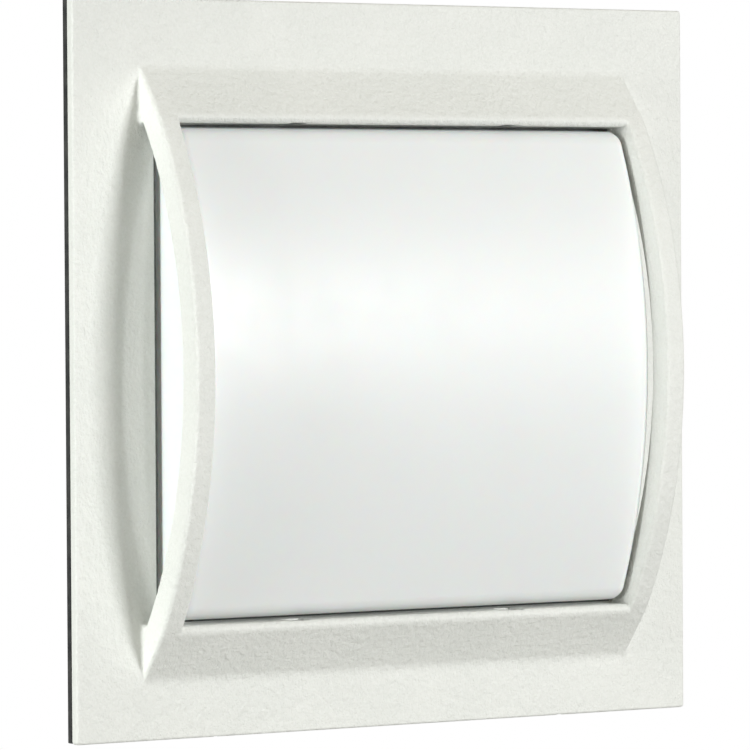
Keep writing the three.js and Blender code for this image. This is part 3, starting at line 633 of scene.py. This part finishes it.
def moulded(name, low, high, rough, grain=1100, depth=0.0001):
    """Moulded plastic: slow flow marks, fine spark texture and uneven shine."""
    m = Nodes(name)
    flow = m.noise(55, 3, 0.5, m.stretched((0.35, 1, 1)))
    fine = m.noise(grain, 3, 0.6)
    m.set(colour=m.ramp(flow, low, high), rough=m.spread(fine, *rough), specular=0.45)
    m.relief(fine, 0.3, depth)
    return m.material


def nylon():
    return moulded("nylon", (0.72, 0.71, 0.66), (0.80, 0.79, 0.75), (0.42, 0.6))


def lamp_cap():
    return moulded("lamp_cap", (0.79, 0.79, 0.77), (0.85, 0.85, 0.84), (0.3, 0.46))


def rubber():
    return moulded("rubber", (0.012, 0.012, 0.013), (0.035, 0.035, 0.037), (0.58, 0.82), 800, 0.0002)


def lamp_glass():
    """Clear glass over a white phosphor powder, with a cloudy tone."""
    m = Nodes("lamp_glass")
    m.set(
        colour=m.ramp(m.noise(90, 4), (0.86, 0.86, 0.84), (0.92, 0.92, 0.905)),
        rough=m.spread(m.noise(700, 3), 0.4, 0.55), coat=1.0, coat_rough=0.03,
    )
    m.relief(m.noise(260, 2), 0.08, 0.0001)
    return m.material


def lamination():
    """Varnished iron sheets, half a millimetre thick, stacked across the core."""
    m = Nodes("lamination")
    sheets = m.bands(0.0005, "X", 0.4)
    varnish = m.ramp(m.noise(90, 4), (0.030, 0.030, 0.033), (0.085, 0.078, 0.072))
    colour = m.mixed(m.spread(sheets, 0.35, 0.0), varnish, (0.012, 0.012, 0.013))
    m.set(colour=colour, rough=m.spread(sheets, 0.55, 0.35), metal=0.6)
    m.relief(sheets, 0.6, 0.0002)
    return m.material


def winding():
    """Varnished tape round the turns of wire, which show through it."""
    m = Nodes("winding")
    turns = m.bands(0.00045, "X", 1.2)
    tape = m.ramp(m.noise(120, 4), (0.48, 0.40, 0.22), (0.66, 0.58, 0.36))
    colour = m.mixed(m.spread(turns, 0.3, 0.0), tape, (0.30, 0.20, 0.09))
    m.set(colour=colour, rough=m.spread(turns, 0.5, 0.34), coat=0.2, coat_rough=0.2)
    m.relief(turns, 0.5, 0.00015)
    return m.material


def insulation(name, low, high):
    def made():
        return moulded(name, low, high, (0.26, 0.44), 600, 0.00005)
    return made


MATERIALS = {
    "powder_coat": powder_coat, "opal_glass": opal_glass, "silicone": silicone, "foam": foam,
    "zinc_steel": zinc_steel, "zinc_screw": zinc_screw, "stainless": stainless, "black_steel": black_steel,
    "white_enamel": white_enamel, "nylon": nylon, "lamp_cap": lamp_cap, "lamp_glass": lamp_glass,
    "brass": brass, "lamination": lamination, "winding": winding, "rubber": rubber,
    "wire_brown": insulation("wire_brown", (0.085, 0.035, 0.015), (0.12, 0.05, 0.022)),
    "wire_black": insulation("wire_black", (0.008, 0.008, 0.009), (0.018, 0.018, 0.02)),
    "wire_white": insulation("wire_white", (0.64, 0.62, 0.57), (0.73, 0.71, 0.66)),
    "wire_blue": insulation("wire_blue", (0.018, 0.08, 0.30), (0.028, 0.11, 0.38)),
    "wire_green": insulation("wire_green", (0.17, 0.31, 0.02), (0.25, 0.40, 0.04)),
}
made_materials = {}


def finish_of(slot):
    if slot not in made_materials:
        made_materials[slot] = MATERIALS[slot]()
    return made_materials[slot]


def dress(piece, slot):
    piece.data.materials.clear()
    piece.data.materials.append(finish_of(slot))


# ---------------------------------------------------------------- pieces built for the looks
SLOT_OF = {part["node"]: part["material_slot"] for part in frame["record"]["subparts"]}
BODY_OF = {node: body for body, nodes in frame["record"]["behaviour"]["bodies"].items() for node in nodes}
SHANK = 1.25
SCREW_HEAD = 1.7  # height
BLOCK_SCREW = (1.0, 0.8)  # the terminal block's fixing screw: head height and shank radius
THREAD_PITCH = 0.7


def replace_node(piece, node):
    """Puts a detailed piece in the place of a CAD node, on the same body and with the same finish."""
    dress(piece, SLOT_OF[node])
    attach(piece, BODY_OF[node])
    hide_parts(node)


def even_lines(low, high, step):
    return [np.arange(a - 2 * step, b + 2.5 * step, step) for a, b in zip(low, high)]


def make_pan_screw(node, facing, head_height, shank_radius=SHANK):
    """A pan-head screw with a tapered cross recess and a cut thread; facing 1 has its head forward."""
    low, high = limits(node)
    x0, z0 = (low[0] + high[0]) / 2, (low[2] + high[2]) / 2
    head = (high[0] - low[0]) / 2
    top = high[1] if facing > 0 else low[1]
    length = high[1] - low[1]

    def field(x, f, z):
        u, v = x - x0, z - z0
        depth = (top - f) * facing  # from the top of the head towards the tip
        r = np.hypot(u, v)
        bulge = head_height * 0.35 * np.minimum(r / head, 1) ** 2
        cap = rounded_both(r - head, slab(depth, bulge, head_height), 0.3)
        turn = depth / THREAD_PITCH - facing * np.arctan2(v, u) / (2 * math.pi)
        groove = 0.13 * shank_radius * np.abs(2 * (turn - np.floor(turn + 0.5)))
        point = np.maximum(depth - length + 0.8, 0) * 0.6
        shank = both((r - shank_radius + groove + point) * 0.8, slab(depth, head_height - 0.4, length))
        arm = head * 0.6 - 0.5 * depth
        narrow = head * 0.15 - 0.12 * depth
        cross = either(both(np.abs(u) - arm, np.abs(v) - narrow), both(np.abs(v) - arm, np.abs(u) - narrow))
        return both(either(cap, shank), -both(cross, depth - head_height * 0.55))

    step = 0.17 if head > 2 else 0.11
    return surface_net(node + "_detail", field, even_lines(low, high, step), 0.7 * step)


NECK_FROM_END = 9.0
NECK_RADIUS = 3.2
NECK_FILLET = 1.4


def make_tubes(node):
    """Two glass tubes with round ends, joined by a short neck near their far end."""
    low, high = limits(node)
    radius = (high[1] - low[1]) / 2
    f0 = (high[1] + low[1]) / 2
    middle = (low[2] + high[2]) / 2
    apart = (high[2] - low[2]) / 2 - radius
    end = high[0] - radius

    def field(x, f, z):
        beyond = np.maximum(x - end, 0)
        across = np.hypot(f - f0, np.abs(z - middle) - apart)
        tubes = both(np.hypot(beyond, across) - radius, low[0] - x)
        neck = both(np.hypot(x - high[0] + NECK_FROM_END, f - f0) - NECK_RADIUS, np.abs(z - middle) - apart)
        return filleted(tubes, neck, NECK_FILLET)

    xs = graded(low[0] - 1, high[0] + 1, [low[0], high[0] - NECK_FROM_END, high[0]], 0.5, 3)
    _, fs, zs = even_lines(low, high, 0.6)
    return surface_net(node + "_detail", field, (xs, fs, zs), 0.4)


PEG_LENGTH = 22.0  # the peg behind a lamp's cap
PEG_HEIGHT = 17.0
PEG_DEPTH = 15.0
PEG_ROUND = 0.9
PEG_FILLET = 0.5
CAP_ROUND = 2.2
GROOVES = 4
GROOVE_START = 6  # from the cap's face
GROOVE_PITCH = 3.2
GROOVE_HALF = 0.6
GROOVE_DEPTH = 0.5
TUBE_SOCKET = 8  # depth
PIN_SOCKET = 4
TUBE_ROOM = 6.3
PIN_ROOM = 1.45
PIN_SPACING = 23.0
TUBE_SPACING = 15.0


def make_cap(node):
    """A lamp's cap with finger grooves, its peg, and the sockets for tubes and pins."""
    low, high = limits(node)
    f0, middle = (low[1] + high[1]) / 2, (low[2] + high[2]) / 2
    face = low[0] + PEG_LENGTH
    half_z, half_f = (high[2] - low[2]) / 2, (high[1] - low[1]) / 2

    def field(x, f, z):
        v, w = z - middle, f - f0
        body = box_field(x, w, v, (face, high[0]), (-half_f, half_f), (-half_z, half_z), CAP_ROUND)
        for i in range(GROOVES):
            along = np.abs(x - face - GROOVE_START - GROOVE_PITCH * i)
            groove = both(along - GROOVE_HALF, half_z - GROOVE_DEPTH - np.abs(v))
            body = both(body, -groove)
        peg = box_field(
            x, w, v,
            (low[0], face + 2), (-PEG_DEPTH / 2, PEG_DEPTH / 2), (-PEG_HEIGHT / 2, PEG_HEIGHT / 2),
            PEG_ROUND,
        )
        made = filleted(body, peg, PEG_FILLET)
        sockets = both(np.hypot(w, np.abs(v) - TUBE_SPACING / 2) - TUBE_ROOM, high[0] - TUBE_SOCKET - x)
        pins = both(np.hypot(w, np.abs(v) - PIN_SPACING / 2) - PIN_ROOM, slab(x, face - 1, face + PIN_SOCKET))
        return both(made, -sockets, -pins)

    return surface_net(node + "_detail", field, even_lines(low, high, 0.5), 0.35)


WIRE_RADIUS = 1.0
WIRES = {
    "wire_live": [(64.5, 5, 10), (58, 5, 10), (51, 6.5, 8.5), (44, 7, 6), (36, 7, 5.5)],
    "wire_choke": [
        (36, 7, -5.5), (43, 7, -7), (47.5, 6, -13), (42, 4.2, -19), (30, 4, -20.6), (-20, 4, -20.6),
        (-54, 4, -20.6), (-64, 4, -19.4), (-71, 4, -14), (-76, 4, -4), (-82, 4.2, 12), (-87, 4.6, 24),
        (-88, 4.8, 30), (-88, 4.8, 35),
    ],
    "wire_link": [
        (-98, 4.8, -35), (-98, 4.8, -30), (-98.5, 4, -12), (-98.5, 4, 12), (-98, 4.8, 30), (-98, 4.8, 35),
    ],
    "wire_neutral": [
        (-88, 4.8, -35), (-87.5, 4.8, -30), (-82, 4.4, -25.2), (-74, 4, -23.6), (-64, 4, -23.3),
        (-20, 4, -23.3), (36, 4, -23.3), (46, 4, -22.5), (53, 4.2, -18), (56, 4.8, -8),
        (58.5, 5, -1.5), (61, 5, 0), (64.5, 5, 0),
    ],
    "wire_earth": [(75.5, 5, -10), (79, 5, -10), (82, 4.6, -12), (84, 3.7, -14.4), (87, 3.6, -15)],
}


def make_wire(node):
    curve = bpy.data.curves.new(node + "_detail", "CURVE")
    curve.dimensions = "3D"
    curve.bevel_depth = WIRE_RADIUS / METRE
    curve.bevel_resolution = 4
    curve.resolution_u = 8
    curve.use_fill_caps = True
    route = WIRES[node]
    spline = curve.splines.new("BEZIER")
    spline.bezier_points.add(len(route) - 1)
    for point, (x, f, z) in zip(spline.bezier_points, route):
        point.co = Vector((x, -f, z)) / METRE
        point.handle_left_type = point.handle_right_type = "AUTO"
    made = bpy.data.objects.new(node + "_detail", curve)
    bpy.context.scene.collection.objects.link(made)
    return made


# ---------------------------------------------------------------- CAD nodes that keep their shape
EDGE_OF = {  # width of the softened edges, in millimetres
    "silicone": 0.12, "foam": 0.4, "zinc_steel": 0.2, "zinc_screw": 0.12, "stainless": 0.12,
    "black_steel": 0.12, "white_enamel": 0.2, "nylon": 0.4, "brass": 0.1, "lamination": 0.35,
    "winding": 0.5, "rubber": 0.25,
}


def soften(node):
    """Welds the facets, rounds the sharp edges and dresses a CAD node, whose own mesh stays as it is."""
    piece = NODES[node]
    slot = SLOT_OF[node]
    for face in piece.data.polygons:
        face.use_smooth = True
    weld = piece.modifiers.new("weld", "WELD")
    weld.merge_threshold = 0.000002
    flatten = piece.modifiers.new("flatten", "DECIMATE")
    flatten.decimate_type = "DISSOLVE"
    flatten.angle_limit = math.radians(1)
    edge = piece.modifiers.new("edge", "BEVEL")
    edge.width = EDGE_OF[slot] / METRE
    edge.segments = 3
    edge.limit_method = "ANGLE"
    edge.angle_limit = math.radians(38)
    edge.harden_normals = False
    normals = piece.modifiers.new("normals", "WEIGHTED_NORMAL")
    normals.keep_sharp = True
    dress(piece, slot)


# ---------------------------------------------------------------- camera, light and floor
CAMERA_PLACE = Vector((-1.1698, -1.83017, 0.04678))
CAMERA_FORWARD = Vector((0.53772, 0.84282, -0.02263))
CAMERA_UP = Vector((0.01743, 0.01573, 0.99972))
CAMERA_LENS = 250.2
SENSOR = 36.0


def make_camera():
    data = bpy.data.cameras.new("camera")
    data.lens, data.sensor_width = CAMERA_LENS, SENSOR
    camera = bpy.data.objects.new("camera", data)
    bpy.context.scene.collection.objects.link(camera)
    forward = CAMERA_FORWARD.normalized()
    right = forward.cross(CAMERA_UP).normalized()
    up = right.cross(forward)
    turn = Matrix((right, up, -forward)).transposed()
    camera.matrix_world = Matrix.Translation(CAMERA_PLACE) @ turn.to_4x4()
    bpy.context.scene.camera = camera


def area_light(name, place, size, power, colour, target=(0, 0, 0)):
    data = bpy.data.lights.new(name, "AREA")
    data.shape = "RECTANGLE"
    data.size, data.size_y = size
    data.energy = power
    data.color = colour
    lamp = bpy.data.objects.new(name, data)
    bpy.context.scene.collection.objects.link(lamp)
    lamp.location = place
    lamp.rotation_mode = "QUATERNION"
    lamp.rotation_quaternion = (Vector(target) - Vector(place)).to_track_quat("-Z", "Y")


def make_world():
    """Plain white to the camera; soft warm light that is weaker from below for everything else."""
    world = bpy.data.worlds.new("studio")
    bpy.context.scene.world = world
    world.use_nodes = True
    nodes, links = world.node_tree.nodes, world.node_tree.links
    direction = nodes.new("ShaderNodeTexCoord")
    height = nodes.new("ShaderNodeSeparateXYZ")
    links.new(direction.outputs["Generated"], height.inputs["Vector"])
    shade = nodes.new("ShaderNodeMapRange")
    for key, value in zip(("From Min", "From Max", "To Min", "To Max"), (-0.4, 0.45, 0.12, 1.0)):
        shade.inputs[key].default_value = value
    links.new(height.outputs["Z"], shade.inputs["Value"])
    strength = nodes.new("ShaderNodeMath")
    strength.operation = "MULTIPLY"
    strength.inputs[1].default_value = AMBIENT
    links.new(shade.outputs["Result"], strength.inputs[0])
    ambient = nodes["Background"]
    ambient.inputs["Color"].default_value = (1.0, 0.94, 0.78, 1)
    links.new(strength.outputs["Value"], ambient.inputs["Strength"])
    seen = nodes.new("ShaderNodeBackground")
    seen.inputs["Color"].default_value = (1, 1, 1, 1)
    ray = nodes.new("ShaderNodeLightPath")
    mix = nodes.new("ShaderNodeMixShader")
    links.new(ray.outputs["Is Camera Ray"], mix.inputs["Fac"])
    links.new(ambient.outputs["Background"], mix.inputs[1])
    links.new(seen.outputs["Background"], mix.inputs[2])
    links.new(mix.outputs["Shader"], nodes["World Output"].inputs["Surface"])


AMBIENT = 0.27
FLOOR_DROP = 0.3  # below the light's lower edge
FLOOR_RADIUS = 0.42


def make_floor():
    bpy.ops.mesh.primitive_circle_add(
        vertices=96, radius=FLOOR_RADIUS, fill_type="NGON", location=(0, 0, cad_low.z - FLOOR_DROP),
    )
    floor = bpy.context.object
    floor.name = "floor"
    m = Nodes("floor")
    m.set(colour=m.ramp(m.noise(6, 3), (0.80, 0.80, 0.79), (0.83, 0.83, 0.82)), rough=0.7)
    floor.data.materials.append(m.material)


# ---------------------------------------------------------------- building it
def detailed_piece(node):
    """The piece that stands for a CAD node, or None where the node keeps its own shape."""
    if node == "front_frame":
        return make_casting()
    if node == "glass_diffuser":
        return make_diffuser()
    if node.startswith("clip_screw"):
        return make_pan_screw(node, -1, SCREW_HEAD)
    if node == "terminal_fixing_screw":
        return make_pan_screw(node, 1, *BLOCK_SCREW)
    if node.startswith(("reflector_screw", "choke_screw", "earth_screw")):
        return make_pan_screw(node, 1, SCREW_HEAD)
    if node.endswith("_tubes"):
        return make_tubes(node)
    if node.startswith("lamp_") and node.endswith("_base"):
        return make_cap(node)
    if node in WIRES:
        return make_wire(node)
    return None


def make_pieces():
    """The casting and the glass come first, then the other nodes in the frame's order."""
    first = ["front_frame", "glass_diffuser"]
    for node in first + [node for node in NODES if node not in first]:
        made = detailed_piece(node)
        if made:
            replace_node(made, node)
        else:
            soften(node)


COOL_WHITE = (0.985, 0.995, 1.0)
make_camera()
make_world()
area_light("key", (0.72, -2.13, 0.42), (0.55, 0.55), 31, COOL_WHITE)
area_light("front_fill", (0.95, -2.05, 0.3), (1.4, 1.0), 10, COOL_WHITE)
area_light("left_fill", (-2.0, -0.14, 0.05), (0.4, 0.9), 33, (0.97, 1.0, 0.99))
make_floor()
bpy.context.scene.view_settings.view_transform = "Standard"
make_pieces()
